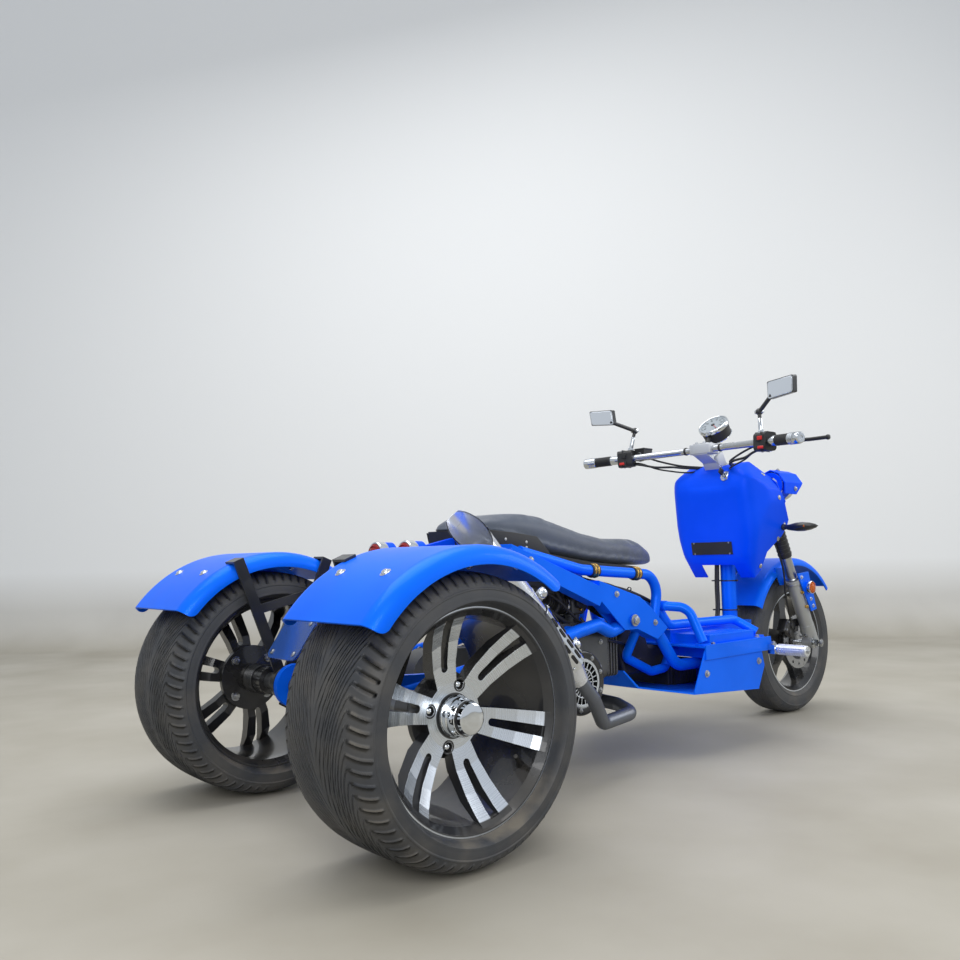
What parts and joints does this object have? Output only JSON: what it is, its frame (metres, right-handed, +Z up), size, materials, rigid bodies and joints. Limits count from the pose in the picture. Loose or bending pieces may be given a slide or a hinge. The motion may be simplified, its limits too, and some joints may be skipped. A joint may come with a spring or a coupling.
{
  "type": "motor trike",
  "caption": "Step-through motor trike: wide driven rear wheels under arched fenders, a long saddle, bent-tube frame and a raked front fork steered from a wide handlebar.",
  "frame": {"origin": "on the floor under the middle of the overall box", "axes": "+X forward, +Y to the rider's left, +Z up"},
  "size_m": [2.2964, 1.02, 1.0447],
  "materials": {
    "blue_paint": "satin",
    "blue_plastic": "satin",
    "black_metal": "semi-gloss",
    "black_plastic": "matt",
    "grip_rubber": "matt",
    "tyre": "matt",
    "chrome": "polished",
    "machined_rim": "machined face, black sides",
    "fork_alloy": "satin",
    "bar_alloy": "polished",
    "disc_steel": "brushed",
    "grey_steel": "raw",
    "engine_alloy": "painted casting",
    "seat_cover": "smooth vinyl"
  },
  "bodies": {
    "frame": {"rear_axle": "grey_steel", "tail_bracket": "blue_plastic", "engine": "engine_alloy", "fan_cover": "black_plastic", "fuel_tank": "black_plastic", "header_pipe": "black_metal", "silencer": "chrome", "seat": "seat_cover", "seat_cowl": "black_plastic", "deck_tubes": "blue_paint", "deck": "blue_paint", "belly_pan": "blue_paint", "steering_post": "blue_paint", "front_box": "blue_plastic", "front_panel": "blue_plastic", "headlamps": "blue_plastic", "right_side_frame": "blue_paint", "right_swing_arm": "blue_paint", "right_rear_fender": "blue_paint", "right_fender_struts": "black_metal", "right_foot_peg": "chrome", "right_front_signal": "black_plastic", "left_side_frame": "blue_paint", "left_swing_arm": "blue_paint", "left_rear_fender": "blue_paint", "left_fender_struts": "black_metal", "left_foot_peg": "chrome", "left_front_signal": "black_plastic"},
    "steering": {"fork_crown": "black_metal", "front_axle": "chrome", "front_fender": "blue_paint", "handlebar": "bar_alloy", "speedometer": "black_plastic", "right_fork_leg": "fork_alloy", "right_controls": "black_plastic", "right_grip": "grip_rubber", "right_mirror": "black_metal", "right_fork_bracket": "blue_paint", "left_fork_leg": "fork_alloy", "left_controls": "black_plastic", "left_grip": "grip_rubber", "left_mirror": "black_metal", "left_fork_bracket": "blue_paint"},
    "front_wheel": {"front_tyre": "tyre", "front_rim": "black_metal", "brake_disc": "disc_steel"},
    "right_rear_wheel": {"right_rear_tyre": "tyre", "right_rear_rim": "machined_rim"},
    "left_rear_wheel": {"left_rear_tyre": "tyre", "left_rear_rim": "machined_rim"}
  },
  "joints": [
    {"name": "steering_turn", "type": "hinge", "parent": "frame", "child": "steering", "pos_m": [0.66125, 0, 0.7], "axis": [-0.4384, 0, 0.8988], "range_deg": [-35, 35]},
    {"name": "front_wheel_spin", "type": "hinge", "parent": "steering", "child": "front_wheel", "pos_m": [0.91025, 0, 0.238], "axis": [0, 1, 0], "continuous": true},
    {"name": "right_rear_wheel_spin", "type": "hinge", "parent": "frame", "child": "right_rear_wheel", "pos_m": [-0.88975, -0.362, 0.2585], "axis": [0, 1, 0], "continuous": true},
    {"name": "left_rear_wheel_spin", "type": "hinge", "parent": "frame", "child": "left_rear_wheel", "pos_m": [-0.88975, 0.362, 0.2585], "axis": [0, 1, 0], "continuous": true}
  ]
}
